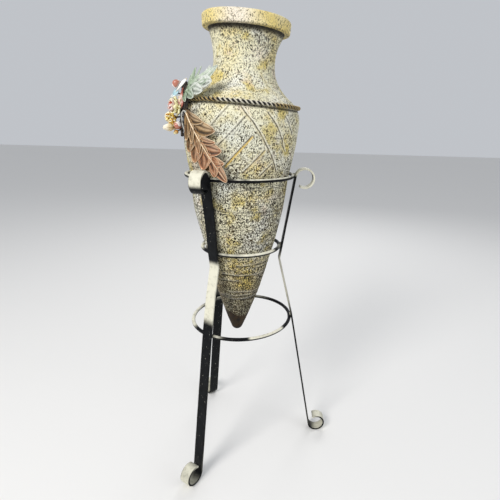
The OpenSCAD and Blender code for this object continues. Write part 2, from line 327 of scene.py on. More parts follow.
def stoneware():
    """Cream, ochre, pink and grey patches under dark worm-like pits; bare brown tip."""
    f = Finish("mottled_stoneware", roughness=0.72, specular=0.3)
    height = f.node("SeparateXYZ", "Z", {0: f.where})
    colour = f.mix(f.step(f.noise(13, 3, shift=1.0), 0.40, 0.66), "f0ebcb", "f3f3ea")
    colour = f.mix(f.step(f.noise(26, 4, shift=2.0), 0.50, 0.66, 0, 0.85), colour, "dfc968")
    colour = f.mix(f.step(f.noise(24, 3, shift=5.0), 0.56, 0.68, 0, 0.6), colour, "e2cdbd")
    for name, paint in (("gild", "eed474"), ("blush", "f6e9da"), ("cool", "e6eae2")):
        colour = f.mix(f.mark(name), colour, paint)
    # umber towards the tip, then an ashen band just above it
    low = f.math("ADD", height, f.math("MULTIPLY", f.noise(22, 3, shift=3.0), 0.09))
    brown = f.math("MULTIPLY", f.step(low, 0.11, 0.29, 0.80, 0.0),
                   f.math("SUBTRACT", 1.0, f.math("MULTIPLY", f.mark("gild"), 0.8)))
    colour = f.mix(brown, colour, f.mix(f.step(f.noise(30, 3), 0.42, 0.60), "988a4e", "8f6a30"))
    low = f.math("ADD", height, f.math("MULTIPLY", f.noise(50, 3, shift=6.0), 0.03))
    ash = f.mix(f.step(f.noise(380, 2, stretch=(0.5, 0.5, 2.0)), 0.45, 0.55), "7b7562", "c4bfab")
    colour = f.mix(f.step(low, 0.105, 0.135, 0.75, 0.0), colour, ash)
    # olive flecks, then the dark wash that stays in the pits and, low down, in long level strokes
    grit = f.noise(700, 2, 0.6, distortion=0.6)
    colour = f.mix(f.math("MULTIPLY", f.step(grit, 0.40, 0.52, 1.0, 0.0), 0.5), colour, "a39a6c")
    pits = f.noise(450, 2, 0.6, distortion=0.9, stretch=(1.0, 1.0, 0.66))
    pits = f.math("SUBTRACT", pits, f.math("MULTIPLY", f.mark("dense"), 0.105))
    strokes = f.noise(70, 3, 0.6, stretch=(0.35, 0.35, 5.0), shift=7.0)
    stroke_wash = f.math("MULTIPLY", f.step(strokes, 0.36, 0.44, 1.0, 0.0), f.step(height, 0.40, 0.50, 1.0, 0.12))
    wash = f.math("MAXIMUM", f.step(pits, 0.372, 0.416, 1.0, 0.0), f.math("MULTIPLY", stroke_wash, 0.5))
    dark = f.mix(f.step(f.noise(40, 2), 0.4, 0.6), "211a0d", "3a2e15")
    colour = f.mix(wash, colour, f.mix(f.step(f.mark("dense"), 0.1, 0.6), "6f6342", dark))
    # the dark groove colour is the dark wash in the grooves, and also the painted shade under the collar and painted
    # shadow under the rope and beside the leaves
    for name, paint in (("lip", "f6f2e0"), ("gilt", "dfb848"), ("groove", "17130c")):
        colour = f.mix(f.mark(name), colour, paint)
    f.colour(f.mix(f.mark("bare"), colour, f.mix(f.step(f.noise(70, 4), 0.35, 0.65), "38260a", "160d03")))
    f.bump(pits, 0.0014, 0.8)
    f.bump(grit, 0.0005, 0.6)
    f.bump(strokes, 0.0008, 0.5)
    return f.material


def painted_iron(name, light, dark, ragged):
    """Satin black paint, rubbed back to cream where the mark named rub is high."""
    f = Finish(name, roughness=0.40, specular=0.12)
    rub = f.math("ADD", f.mark("rub"), f.wander(f.noise(70, 4, 0.6, shift=2.0), ragged))
    rub = f.math("ADD", rub, f.wander(f.noise(420, 3, 0.6, stretch=(1, 1, 0.4)), 0.12))
    amount = f.step(rub, 0.12, 0.88)
    black = f.mix(f.step(f.noise(90, 3), 0.4, 0.62), dark, "0d1013")
    chips = f.math("MULTIPLY", f.step(f.noise(260, 2, shift=9.0), 0.68, 0.72), 0.7)
    black = f.mix(chips, black, "b5b3a6")
    cream = f.mix(f.step(f.noise(110, 4, shift=4.0), 0.45, 0.75), light, "b9b6a4")
    f.colour(f.mix(amount, black, cream))
    f.rough(f.step(f.noise(130, 3), 0.3, 0.7, 0.40, 0.56))
    f.bump(f.noise(420, 3, 0.6), 0.0003, 0.5)
    f.bump(amount, 0.0002, 0.4)
    return f.material


def rope_paint():
    """Bronze strands with a painted cream highlight across the front, and painted shade in the gaps between them."""
    f = Finish("bronzed_rope", roughness=0.5, metallic=0.1)
    # painted highlight: cream across the front, bronze towards the ends where this mark rises
    strand = f.mix(f.step(f.math("ADD", f.mark("warm"), f.wander(f.noise(60, 3), 0.7)), 0.3, 0.8), "f4efdc", "c0a76d")
    fibre = f.math("SINE", f.math("MULTIPLY", f.mark("fibre"), 6.0))
    strand = f.mix(f.step(fibre, -1.0, 0.4, 0.35, 0.0), strand, "5d4826")
    strand = f.mix(f.step(f.noise(300, 2), 0.36, 0.44, 0.5, 0.0), strand, "4c3a1e")
    # painted shade: near black in the gaps between the strands
    f.colour(f.mix(f.mark("deep"), strand, "0a0806"))
    f.bump(fibre, 0.0003, 0.6)
    f.bump(f.noise(500, 2), 0.0003, 0.6)
    return f.material


def leaf_paint(name, base, second, rim, vein, tip, metallic):
    """Mottled leaf with a lighter rim, painted highlights along its ridges and midrib and painted shade in its valleys,
    paler towards the tips of its lobes.
    """
    f = Finish(name, roughness=0.42, metallic=metallic)
    colour = f.mix(f.step(f.noise(45, 4, shift=3.0), 0.40, 0.62), base, second)
    frost = f.math("ADD", f.mark("length"), f.wander(f.noise(120, 3), 0.5))
    colour = f.mix(f.step(frost, 0.25, 0.8, 0.0, 0.9), colour, tip)
    colour = f.mix(f.step(f.noise(260, 3, 0.6), 0.40, 0.47, 0.45, 0.0), colour, vein)
    # painted shade: the valleys darken to the vein colour
    colour = f.mix(f.mark("valley"), colour, vein)
    # lighter rim, with painted highlights along the ridges and the midrib
    f.colour(f.mix(f.mark("rim"), colour, rim))
    f.rough(f.step(f.noise(150, 3), 0.3, 0.7, 0.34, 0.58))
    f.bump(f.noise(330, 3, 0.6), 0.0004, 0.6)
    return f.material


def enamel(name, edge, heart, roughness, second=None, swirl=0.0, hollow="6b4a1c"):
    """Glossy petal paint: heart colour where the mark named heart is high, edge colour elsewhere, and a painted shade
    colour in its hollows.
    """
    f = Finish(name, roughness=roughness, coat=0.35)
    wander = f.wander(f.noise(90, 3, distortion=swirl), 1.3)
    colour = f.mix(f.step(f.math("ADD", f.mark("heart"), wander), 0.3, 0.7), edge, heart)
    if second:
        colour = f.mix(f.step(f.math("ADD", f.mark("second"), wander), 0.35, 0.65), colour, second)
    # painted shade: the hollow colour darkens petal bases, gaps and the middles of flowers
    f.colour(f.mix(f.mark("hollow"), colour, hollow))
    f.bump(f.noise(380, 3), 0.0003, 0.5)
    return f.material


def bark():
    f = Finish("dark_twig", roughness=0.7)
    f.colour(f.mix(f.step(f.noise(200, 3), 0.4, 0.6), "17130f", "3a2f24"))
    f.bump(f.noise(300, 4, stretch=(1, 1, 0.3)), 0.0006, 0.8)
    return f.material


def bare_wire():
    f = Finish("wire", roughness=0.38, metallic=0.3)
    f.colour(f.mix(f.step(f.noise(160, 3), 0.4, 0.65), "c9c9c2", "7f7d76"))
    f.bump(f.noise(600, 2), 0.0001, 0.5)
    return f.material


# ---- stand ----


def ray(angle):
    """Unit step as radius and height, at an angle in degrees from level."""
    a = np.radians(angle)
    return np.stack([np.cos(a), np.sin(a)], axis=-1)


def leg_path(name):
    """Middle line of a leg's bar as radius and height, from the top scroll's free end to the foot's.

    Its zone is below nought on the top scroll, above nought on the foot and nought between them."""
    top_mid_r, centre_z = TOP_SCROLL[name]
    (top_r, top_z), (mid_r, mid_z), (low_r, low_z) = HOOPS.values()
    slope = (top_r - mid_r) / (top_z - mid_z)
    lean = math.degrees(math.atan(slope))
    knee = np.array([mid_r + STAND_OFF - (mid_z - KNEE_Z) * slope, KNEE_Z])
    low = np.array([low_r + STAND_OFF, low_z])
    # each scroll starts where the straight bar runs into its circle
    top_start = knee + np.array([slope, 1.0]) * (centre_z + top_mid_r * ray(lean)[1] - KNEE_Z)
    top_centre = top_start + top_mid_r * ray(-lean)
    foot_drop = low_z - FOOT_CENTRE_Z + FOOT_MID_R * ray(FOOT_LEAN)[1]
    foot_start = low + np.array([math.tan(math.radians(FOOT_LEAN)), -1.0]) * foot_drop
    foot_centre = foot_start + FOOT_MID_R * ray(FOOT_LEAN)
    bend = 72
    path = np.vstack([
        top_centre + top_mid_r * ray(np.linspace(180 - lean - SCROLL_SWEEP, 180 - lean, bend)),
        np.linspace(top_start, knee, 60)[1:-1],
        np.linspace(knee, low, 46)[:-1],
        np.linspace(low, foot_start, 96)[:-1],
        foot_centre + FOOT_MID_R * ray(np.linspace(180 + FOOT_LEAN, 180 + FOOT_LEAN + SCROLL_SWEEP, bend)),
    ])
    zone = np.zeros(len(path))
    zone[:bend], zone[-bend:] = np.linspace(-1, 0, bend), np.linspace(0, 1, bend)
    return path, zone


# Cream on each leg between its scrolls, as pairs of height and amount: outward face, inward face
RUB_BY_HEIGHT = {
    "leg_front": ([(46, 0.15), (60, 0.05), (80, 0.0), (366, 0.0), (392, 1.0), (498, 1.0), (517, 0.0)],
                  [(100, 0.0), (345, 0.1), (360, 0.4), (500, 0.3), (520, 0.0)]),
    "leg_right": ([(60, 0.1), (120, 0.0), (350, 0.0), (390, 0.4), (430, 0.5), (500, 0.5), (520, 0.0)],
                  [(100, 0.0), (350, 0.0), (380, 0.4), (490, 0.5), (515, 0.0)]),
    "leg_rear": ([(60, 0.1), (90, 0.0), (340, 0.0), (370, 0.3), (480, 0.3), (510, 0.0)],
                 [(30, 0.0), (340, 0.0), (370, 0.3), (480, 0.3), (510, 0.0)]),
}
# Cream on the scrolls, by the share of the bend done from the leg: outside, inside and edges
RUB_TOP_SCROLL = {
    "leg_front": ([(0, 0.6), (0.1, 1.0), (0.58, 1.0), (0.70, 0.05), (1, 0.0)], [(0, 0.0), (1, 0.0)],
                  [(0, 0.0), (0.12, 0.6), (0.4, 0.6), (0.55, 0.1), (1, 0.0)]),
    "leg_right": ([(0, 0.5), (0.1, 1.0), (1, 0.9)], [(0, 0.0), (0.55, 0.0), (0.68, 1.0), (1, 1.0)],
                  [(0, 0.3), (0.08, 1.0), (1, 1.0)]),
    "leg_rear": ([(0, 0.4), (0.1, 1.0), (0.7, 0.9), (0.85, 0.2), (1, 0.1)], [(0, 0.0), (1, 0.2)],
                 [(0, 0.2), (0.2, 0.9), (1, 0.7)]),
}
RUB_FOOT_SCROLL = ([(0, 0.0), (0.15, 0.3), (0.3, 0.75), (0.5, 0.85), (0.7, 0.6), (0.85, 0.8), (1, 0.5)],
                   [(0, 0.0), (0.12, 0.25), (0.3, 0.6), (1, 0.75)],
                   [(0, 0.0), (0.3, 0.1), (0.8, 0.2), (1, 0.7)])


def bar_section(columns=14, corner=1.0):
    """Outline of the flat bar: across its width, and through its thickness."""
    w, t = BAR_W / 2 - corner, BAR_T / 2 - corner
    out = []
    for quarter, middle in enumerate(((w, t), (-w, t), (-w, -t), (w, -t))):
        out += [middle + corner * ray(a) for a in np.linspace(90 * quarter, 90 * quarter + 90, 5)]
        if quarter % 2 == 0:
            level = middle[1] + math.copysign(corner, middle[1])
            out += [[middle[0] * (1 - 2 * k / columns), level] for k in range(1, columns)]
    return np.array(out)


def build_leg(name, azimuth, paint, seed):
    path, zone = leg_path(name)
    tangent = unit(np.gradient(path, axis=0))
    outward = np.stack([-tangent[:, 1], tangent[:, 0]], axis=1)
    across, through = bar_section().T
    away = np.clip(through / (BAR_T / 2), -1, 1) * 0.5 + 0.5
    edge = smooth(BAR_W / 2 - 1.3, BAR_W / 2 - 0.4, np.abs(across))
    # the bar's own unevenness, from the bending and the hammer
    wobble = 0.12 * np.sin(np.arange(len(path))[:, None] * 0.31 + seed) * np.cos(across * 0.2)
    through = through + wobble * np.sign(through)
    r = path[:, :1] + outward[:, :1] * through
    z = np.maximum(path[:, 1:] + outward[:, 1:] * through, 0.0)
    # wring the scroll about the upright line where it leaves the leg, and bend the leg out of true
    twist, bow, inset = LEG_BENDS.get(name, STRAIGHT)
    joint = np.flatnonzero(zone < 0)[-1]
    steps = np.r_[0, np.cumsum(np.linalg.norm(np.diff(path, axis=0), axis=1))]
    wring = np.radians(twist * smooth(-24, 22, steps[joint] - steps))[:, None]
    arm = r - table(inset, path[:, 1])[:, None] - path[joint, 0]
    r = path[joint, 0] + arm * np.cos(wring) - across * np.sin(wring)
    w = arm * np.sin(wring) + across * np.cos(wring)
    a = np.radians(azimuth + table(bow, path[:, 1]))[:, None]
    grid = np.stack([r * np.cos(a) - w * np.sin(a), r * np.sin(a) + w * np.cos(a), z], axis=-1)

    def painted(share, outside, inside, sides):
        """Amount of cream over the bar's section, from what is left on its outside, inside and edges."""
        broad = table(outside, share)[:, None] * (1 - away) + table(inside, share)[:, None] * away
        return broad * (1 - edge) + table(sides, share)[:, None] * edge

    faces_out, faces_in = RUB_BY_HEIGHT[name]
    worn_edges = [(height, min(1.0, 0.15 + 0.85 * amount)) for height, amount in faces_out]
    rub = painted(path[:, 1], faces_in, faces_out, worn_edges)
    rub = np.where(zone[:, None] < 0, painted(-zone, *RUB_TOP_SCROLL[name]), rub)
    rub = np.where(zone[:, None] > 0, painted(zone, *RUB_FOOT_SCROLL), rub)
    shape = Shape().grid(grid, wrap_columns=True, cap=True, rub=rub)
    shape.build(name + "_bar", paint, "stand", "black_iron", name)


# Cream on each hoop's upper side by azimuth from -180 to 180
RUB_BY_AZIMUTH = {
    "hoop_top": [(-180, 0.7), (-140, 0.8), (-128, 0.3), (-120, 0.95), (-109, 0.95), (-104, 0.3), (-97, 0.3),
                 (-92, 0.7), (-86, 0.35), (-80, 0.75), (-40, 0.75), (-25, 0.4), (-8, 0.75), (20, 0.2), (120, 0.3),
                 (180, 0.7)],
    "hoop_middle": [(-180, 0.9), (-165, 0.8), (-150, 0.1), (-132, 0.1), (-115, 0.55), (-95, 0.6), (-84, 1.0),
                    (-42, 1.0), (-32, 0.1), (-12, 0.6), (0, 0.1), (60, 0.1), (170, 0.3), (180, 0.9)],
    "hoop_bottom": [(-180, 1.0), (-160, 0.8), (-148, 0.1), (-128, 0.1), (-118, 0.6), (-108, 0.15), (-86, 0.05),
                    (-79, 1.0), (-42, 1.0), (-36, 0.1), (40, 0.05), (75, 0.6), (100, 0.3), (140, 0.3),
                    (160, 0.9), (180, 1.0)],
}
# Where round the rod the cream starts and is full, as the sine of the turn from level
RUB_FROM = {"hoop_top": (0.15, 0.6), "hoop_middle": (-0.2, 0.3), "hoop_bottom": (-0.05, 0.4)}


def build_hoop(name, paint, seed):
    radius, height = HOOPS[name]
    az = np.linspace(-180, 180, 360, endpoint=False)[:, None]
    turn = circle(20)
    rod = ROD_R * (1 + 0.012 * np.sin(np.radians(az) * 23 + seed))
    grid = polar(radius + rod * np.cos(turn), az, height + rod * np.sin(turn))
    rub = table(RUB_BY_AZIMUTH[name], az) * smooth(*RUB_FROM[name], np.sin(turn))
    shape = Shape().grid(grid, wrap_rows=True, wrap_columns=True, flip=True, rub=rub)
    shape.build(name + "_rod", paint, "stand", "rubbed_iron", name)


def build_welds(name, hoop, paint, seed):
    """Two lumpy beads, above and below the rod, at each leg."""
    radius, height = HOOPS[hoop]
    along = np.linspace(-7.6, 7.6, 26)
    shape = Shape()
    for k, (leg, azimuth) in enumerate(LEG_AZIMUTHS.items()):
        outward, sideways = bearings(azimuth + table(LEG_BENDS.get(leg, STRAIGHT)[1], height))
        for side in (-1, 1):
            path = outward * (radius + 2.7) + UP * (height + side * 3.6) + along[:, None] * sideways
            ripple = 0.22 * np.sin(along * 2.3 + seed + k) + 0.12 * np.sin(along * 5.1 + side)
            size = (2.2 + ripple) * np.sqrt(np.clip(1.04 - (along / 8.4) ** 2, 0.1, 1))
            shape.tube(path, size, 14, rub=0.55 if side > 0 else 0.0)
    shape.build(name + "_beads", paint, "stand", "black_iron", name)


# ---- vase ----

# Its side as height and radius, then its tip, rim and inside
STATIONS = [
    (30, 21.5), (60, 32), (100, 45.5), (150, 59.5), (200, 71.8), (250, 84), (300, 93.5), (345, 98.7),
    (378, 102.3), (410, 107.8), (440, 113), (470, 116.3), (495, 118), (510, 116), (522, 110), (533, 100),
    (545, 86), (560, 72.5), (580, 63.5), (605, 60.8), (630, 64.5), (656, 74),
]
TIP_R, TIP_ARC = 14.0, 66.0
RIM_LOW_R, RIM_TOP_R, RIM_Z, RIM_TOP, RIM_ROUND = 85.0, 86.2, 656.0, 679.0, 5.0
MOUTH_R, WALL, CAVITY_FLOOR = 66.0, 8.0, 70.0
BARE_TIP = 54.0

# Incised lines as points of azimuth and height; the last number is how golden their lip is
INCISED = [
    ([(-93, 518), (-88, 505), (-81.7, 492), (-76.4, 478), (-72, 466), (-68, 453), (-63, 440), (-59, 429),
      (-50, 399)], 0.15),
    ([(-87.6, 501), (-97, 478), (-105, 461), (-113.5, 444)], 0.0),
    ([(-81.4, 467), (-88, 451), (-94.6, 436), (-108.4, 405)], 1.0),
    ([(-67.4, 443), (-75, 426), (-83, 408.5), (-89, 397)], 0.35),
    ([(-58.8, 414), (-71.3, 390)], 0.15),
    ([(-102.6, 518), (-111, 498), (-121, 476)], 0.0),
    ([(-68, 510), (-61.4, 496), (-56, 483), (-52.7, 473), (-49, 462), (-46.5, 450), (-42, 437)], 0.0),
    ([(-47.5, 506), (-42.8, 497), (-39, 485), (-31.7, 470)], 0.0),
    ([(-20, 512), (-8, 486), (4, 452), (18, 408)], 0.0),
    ([(24, 515), (12, 488), (-4, 455), (-14, 428)], 0.3),
    ([(50, 510), (64, 478), (82, 436), (96, 402)], 0.0),
    ([(104, 514), (90, 480), (74, 444), (60, 410)], 0.4),
    ([(138, 512), (150, 476), (166, 440)], 0.0),
    ([(176, 510), (164, 478), (148, 446), (138, 420)], 0.2),
]
# Rings round the vase: height, azimuth where it starts and ends, depth and width in millimetres
RINGS = [
    (466, -125, 40, 0.45, 0.9), (448, 40, 200, 0.5, 1.1), (367, -100, -25, 0.6, 1.0), (361, -96, -28, 0.5, 0.9),
    (340, -88, -32, 0.45, 0.9), (316, -200, 200, 0.7, 1.0), (309, -200, 200, 0.6, 1.0), (398, 60, 240, 0.4, 1.2),
    (276, 30, 190, 0.4, 1.3), (238, -150, -60, 0.35, 1.2), (190, -95, -20, 0.8, 1.6), (181, -60, 30, 0.7, 1.5),
    (163, -125, 30, 0.9, 1.6), (148, -160, -90, 0.8, 1.4), (117, -115, 10, 0.9, 1.5), (109, -130, -20, 0.7, 1.4),
    (99, -150, 0, 0.8, 1.5), (156, 60, 220, 0.8, 1.6), (128, 20, 180, 0.8, 1.5), (104, 90, 250, 0.7, 1.5),
    (206, 80, 230, 0.6, 1.5),
]
# How closely the pits crowd, by height: most on the belly and cone, least on the neck and rim
PITTED = [(40, 1.45), (100, 1.35), (250, 1.05), (330, 1.0), (400, 0.9), (440, 0.65), (480, 0.5), (520, 0.45),
          (560, 0.4), (640, 0.6), (655, 0.8), (660, 0.3), (690, 0.25)]
# Patches of paint: height, spread up and down, azimuth, spread round, amount
GILDED = [(538, 9, -100, 12, 0.9), (575, 22, -122, 14, 0.5), (612, 22, -118, 16, 0.6), (460, 20, -42, 12, 0.8),
          (405, 14, -70, 22, 0.8), (345, 14, -80, 14, 0.8), (190, 26, -80, 50, 1.0), (498, 16, -123, 9, 0.5)]
COOL = [(470, 34, -100, 26, 0.8), (365, 30, -112, 20, 0.8)]
BLUSHED = [(612, 12, -62, 14, 0.6), (345, 10, -48, 16, 0.6)]
# Painted shadow in the lee of the leaves, partly grime there, and a smudge low on the belly
LEAF_SHADOW_AND_GRIME = [(545, 9, -127, 10, 0.65), (505, 15, -141, 9, 0.5), (418, 6, -108, 8, 0.4), (428, 22, -121, 6, 0.4)]


def arc(x, low, high):
    """Whether azimuth x lies from low to high, fading over 6 degrees; the range may pass 180."""
    return np.maximum.reduce([smooth(low - 3, low + 3, x + turn) * (1 - smooth(high - 3, high + 3, x + turn))
                              for turn in (-360, 0, 360)])


def patches(s, azimuth, spots, strength=1.0):
    """Where the patches lie, each as strong as its amount at its middle."""
    return np.maximum.reduce([amount * strength * bell(s - height, tall_by) * bell(azimuth - where, wide_by)
                              for height, tall_by, where, wide_by, amount in spots])


def collar_aside(s):
    return COLLAR_ASIDE * smooth(618, 662, s)


def rope_front(azimuth):
    """How far round to the front, where the rope rides higher and closer in."""
    return bell(azimuth + 105, 45)


def vase_outline():
    """The skin, the rim and the inside, as rows of height and radius."""
    tip = TIP_R * ([1, 0] + ray(np.linspace(2, TIP_ARC, 12)) * [-1, 1])
    side = spline(STATIONS, 900)
    skin = even(np.vstack([tip, side]), 470)
    collar = [(RIM_Z, RIM_LOW_R - 2), (RIM_Z + 0.6, RIM_LOW_R - 0.6), (RIM_Z + 2, RIM_LOW_R)]
    quarter = np.linspace(0, 90, 9)
    top = [RIM_TOP - RIM_ROUND, RIM_TOP_R - RIM_ROUND] + RIM_ROUND * ray(quarter)[:, ::-1]
    mouth = [RIM_TOP - RIM_ROUND, MOUTH_R + RIM_ROUND] + RIM_ROUND * ray(quarter + 90)[:, ::-1]
    rim = even(np.vstack([skin[-1:], collar, top, mouth]), 64)[1:]
    wall = [(s, r - WALL) for s, r in side[::-1] if CAVITY_FLOOR < s < RIM_Z - 6]
    inside = even(np.vstack([rim[-1:], wall, [(CAVITY_FLOOR, 1.0)]]), 120)[1:]
    return skin, rim, inside


def near_lines(az, s, radius):
    """How near each surface point is to an incised line, to the lip beside it, and to the lip's gilding."""
    groove, lip, gilt = np.zeros_like(s), np.zeros_like(s), np.zeros_like(s)
    # millimetres a degree, near enough to step the lines evenly
    stretch = [1.9, 1.0]
    for points, gold in INCISED:
        pts = np.array(points, float)
        fine = even(pts * stretch, int(np.abs(np.diff(pts[:, 1])).sum() / 0.8)) / stretch
        turn = (az - pts[:, 0].mean() + 180) % 360 - 180 + pts[:, 0].mean()
        mask = ((turn > fine[:, 0].min() - 5) & (turn < fine[:, 0].max() + 5)
                & (s > fine[:, 1].min() - 6) & (s < fine[:, 1].max() + 6))
        da = np.radians(turn[mask][:, None] - fine[None, :, 0]) * radius[mask][:, None]
        ds = s[mask][:, None] - fine[None, :, 1]
        away = np.hypot(da, ds)
        best = away.argmin(axis=1)
        row = np.arange(len(best))
        d, above = away[row, best], np.sign(ds[row, best])
        fade = smooth(0, 4, np.minimum(best, len(fine) - 1 - best) + 1.0)
        groove[mask] = np.maximum(groove[mask], bell(d, 1.05) * fade)
        lip[mask] = np.maximum(lip[mask], bell(d - 2.5, 1.2) * fade * (0.75 + 0.25 * above))
        gilt[mask] = np.maximum(gilt[mask], gold * bell(d - 2.1, 1.5) * fade * (above < 0))
    return groove, lip, gilt


def near_rings(s, azimuth):
    """How near each surface point is to a ring's groove and to the lip over it, times the ring's depth."""
    groove, lip = np.zeros_like(s), np.zeros_like(s)
    for k, (height, start, end, depth, width) in enumerate(RINGS):
        wave = (1.3 * np.sin(np.radians(azimuth * (2 + k % 3) + 57 * k))
                + 0.5 * np.sin(np.radians(azimuth * 9 + 31 * k)))
        d = s - height - wave
        share = arc(azimuth, start, end) * depth
        groove = np.maximum(groove, bell(d, width) * share)
        lip = np.maximum(lip, bell(d - 2.2 * width, 1.3 * width) * share)
    return groove, lip


def build_vase(paint):
    skin, rim, inside = vase_outline()
    az = np.linspace(-180, 180, 500, endpoint=False)
    profile = np.vstack([skin, rim])
    s, azimuth = np.meshgrid(profile[:, 0], az, indexing="ij")
    r = np.broadcast_to(profile[:, 1:], s.shape)
    slope = unit(np.gradient(profile, axis=0))
    rest = polar(r, azimuth, s)
    on_skin = (np.arange(len(profile)) < len(skin)).astype(float)[:, None]
    # worm-like pits, longer up the vase in one set and across it in the other
    warp = lumps(rest, 9.0, 1)[..., None] * 2.2
    worm = np.maximum(lumps(rest * [1.0, 1.0, 0.6] + warp, 2.7, 2), lumps(rest * [0.8, 0.8, 1.3] - warp, 2.5, 3))
    cover = 0.5 + 0.5 * lumps(rest, 38.0, 4)
    dense = table(PITTED, s) + 0.4 * bell(s - 622, 18) * bell(azimuth + 52, 16)
    dense = np.clip(dense + 0.45 * (cover - 0.5) + 0.25 * smooth(-60, -20, azimuth), 0, 1.5)
    ragged_edge = 6 * np.sin(np.radians(azimuth * 2 + 40)) + 5 * lumps(rest, 14.0, 7)
    bare = 1 - smooth(-5.0, 5.0, s - BARE_TIP - ragged_edge)
    pit = np.clip(worm * 1.9 - 0.55 + 0.3 * dense, 0, 1) * (1 - bare)
    swell = lumps(rest, 60.0, 5) * 0.55 + lumps(rest, 22.0, 6) * 0.28
    groove, lip, gilt = (mark * on_skin for mark in near_lines(azimuth, s, r))
    ring_in, ring_lip = near_rings(s, azimuth)
    # throwing lines of the lower half, faint and broken
    turning = np.sin(s * 1.15 + 2.2 * lumps(rest * [0.25, 0.25, 1.0], 25.0, 8))
    turning *= smooth(60, 90, s) * (1 - smooth(330, 480, s)) * (0.4 + 0.6 * cover)
    lift = swell - 0.35 * pit - groove + 0.45 * lip - 1.15 * ring_in + 0.55 * ring_lip + 0.16 * turning
    lift = np.where(on_skin > 0, lift, 0.35 * swell - 0.45 * pit) * smooth(0, 12, s)
    # the belly is a little fuller on the side of the spray
    fuller = BELLY_FULLER * smooth(200, 330, s) * (1 - smooth(430, 490, s))
    fuller = fuller * np.clip(np.cos(np.radians(azimuth + 176)), 0, 1) ** 1.5
    grid = polar(r + fuller + slope[:, :1] * lift, azimuth, s - slope[:, 1:] * lift)
    grid[..., 0] += collar_aside(s)
    inner = polar(inside[:, 1:], az, inside[:, :1])
    inner[..., 0] += collar_aside(inside[:, :1])
    # paint: ochre collar with a cream-pink patch on its front left, cool shoulder, gilded patches
    on_rim = 1 - on_skin * np.ones_like(s)
    patchy = 0.5 + 0.5 * lumps(rest, 30.0, 9)
    ragged = 0.6 + 0.8 * lumps(rest, 7.0, 15)
    blush = on_rim * bell((azimuth + 106 + 180) % 360 - 180, 20.0) * 0.85
    gild = np.maximum.reduce([
        np.clip(on_rim * (0.5 + 0.65 * patchy) * (1 - blush), 0, 1), patches(s, azimuth, GILDED, ragged),
        patches(s, azimuth, [(140, 20, -78, 34, 1.0)], 0.6 + 0.4 * ragged),
        0.45 * smooth(0.55, 0.8, patchy) * smooth(300, 420, s),
    ])
    gild = np.clip(gild, 0, 1)
    # darkening: dark wash in the grooves, painted shade under the collar, a painted shadow under the rope, and painted
    # shadow with some grime in the lee of the leaves
    broken = smooth(-0.35, 0.45, lumps(rest, 13.0, 16))
    wash = np.clip((0.6 + broken) * ring_in + 0.15 * np.clip(-turning, 0, 1) * smooth(0.2, 0.7, cover), 0, 0.9)
    wash = np.maximum.reduce([
        # painted shadow beside the leaves, dark wash in the grooves, painted shade just under the collar
        wash, patches(s, azimuth, LEAF_SHADOW_AND_GRIME, ragged), groove * (0.8 + 0.5 * broken), on_skin * smooth(643, 653, s) * 0.95,
        # painted shadow in a line under the rope
        0.9 * bell(s - 516.8 - ROPE_RISE * rope_front(azimuth), 2.4) * on_skin,
    ])
    marks = {
        "dense": (dense, 0.4), "gilt": (gilt, 0.0), "bare": (bare, 0.0), "gild": (gild, 0.0),
        "lip": (np.clip(0.75 * lip + 0.28 * ring_lip + 0.08 * on_rim, 0, 0.8), 0.0),
        "groove": (np.clip(wash, 0, 0.96), 0.55),
        "blush": (np.maximum(blush, patches(s, azimuth, BLUSHED)), 0.0),
        "cool": (patches(s, azimuth, COOL) * (1 - gild), 0.0),
    }
    # the second value of each mark holds over the whole inside
    marks = {k: np.vstack([outside, np.full(inner.shape[:2], within)]) for k, (outside, within) in marks.items()}
    shape = Shape().grid(np.vstack([grid, inner]), wrap_columns=True, cap=True, flip=True, **marks)
    shape.build("vase_stoneware", paint, "vase", "mottled_stoneware", "vase_body")


def build_rope(paint):
    """Two strands twisted together round the foot of the neck."""
    turns, count, sides, strand_r, off_middle = 39, 2000, 12, 2.05, 1.95
    az = np.linspace(-180, 180, count, endpoint=False)[:, None]
    height = ROPE_Z + ROPE_RISE * rope_front(az)
    radius = ROPE_R - 0.8 * rope_front(az)
    around = circle(sides)
    # painted highlight across the front, which faces the camera: this mark is nought there and one towards the ends
    warm = np.maximum(smooth(-72, -50, az), 1 - smooth(-122, -104, az))
    shape = Shape()
    for strand in (0.0, math.pi):
        twist = -np.radians(az) * turns + strand
        size = strand_r * (1 + 0.05 * np.sin(np.radians(az) * 7 + strand))
        rr = radius + off_middle * np.cos(twist) + size * np.cos(around)
        zz = height + off_middle * np.sin(twist) + size * np.sin(around)
        # painted shade in the gaps between the strands, darkest next to the rope's middle line
        deep = 1 - smooth(2.85, 3.8, np.hypot(rr - radius, zz - height))
        shape.grid(polar(rr, az, zz), wrap_rows=True, wrap_columns=True, flip=True, deep=deep, warm=warm,
                   fibre=around - 3 * twist)
    shape.build("rope_strands", paint, "vase", "bronzed_rope", "rope_band")


def build_rope_tie(paint):
    """Three turns of thin wire that bind the twig to the rope."""
    t = np.linspace(0, 3 * 2 * np.pi, 150)[:, None]
    outward, sideways = bearings(TWIG_AZ)
    centre = polar(ROPE_R + 1.2, TWIG_AZ, ROPE_Z)
    path = centre + 6.4 * (np.cos(t) * outward + np.sin(t) * UP) + (t / (2 * np.pi) - 1.5) * 1.9 * sideways
    Shape().tube(path, 0.75, 8).build("rope_tie_wire", paint, "vase", "wire", "rope_tie")


# ---- spray ----

TWIG_MAIN = [(126, -158, 454), (126.5, -160, 480), (124.5, -161, 505), (123.3, -160.5, 523), (123, -160, 537),
             (120, -157, 556)]
